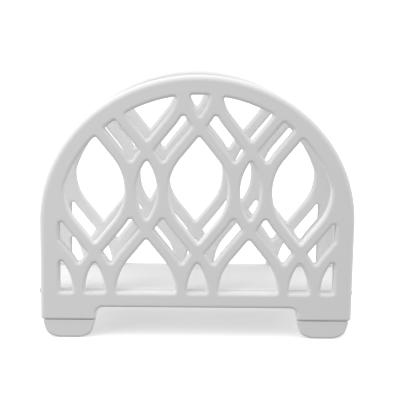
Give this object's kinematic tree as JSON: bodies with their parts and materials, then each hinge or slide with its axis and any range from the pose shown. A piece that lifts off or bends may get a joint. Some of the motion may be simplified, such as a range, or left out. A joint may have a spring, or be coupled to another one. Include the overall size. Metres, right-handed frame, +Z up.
{
  "type": "napkin holder",
  "caption": "Upright napkin holder with arched, openwork lattice panels either side of a flat base plate, on short rounded feet.",
  "frame": {"origin": "on the table under the middle of the holder: bottom centre of the bounding box", "axes": "+X along the panels to the right, +Y from the front panel to the back panel, +Z up"},
  "size_m": [0.163, 0.065, 0.1352],
  "materials": {
    "white_enamel": "satin white paint",
    "zinc_steel": "zinc plated"
  },
  "bodies": {
    "root": {"front_panel": "white_enamel", "back_panel": "white_enamel", "base_plate": "white_enamel", "front_left_foot": "white_enamel", "front_right_foot": "white_enamel", "back_left_foot": "white_enamel", "back_right_foot": "white_enamel", "front_left_base_screw": "zinc_steel", "front_right_base_screw": "zinc_steel", "back_left_base_screw": "zinc_steel", "back_right_base_screw": "zinc_steel", "front_left_foot_screw": "zinc_steel", "front_right_foot_screw": "zinc_steel", "back_left_foot_screw": "zinc_steel", "back_right_foot_screw": "zinc_steel"}
  },
  "joints": []
}
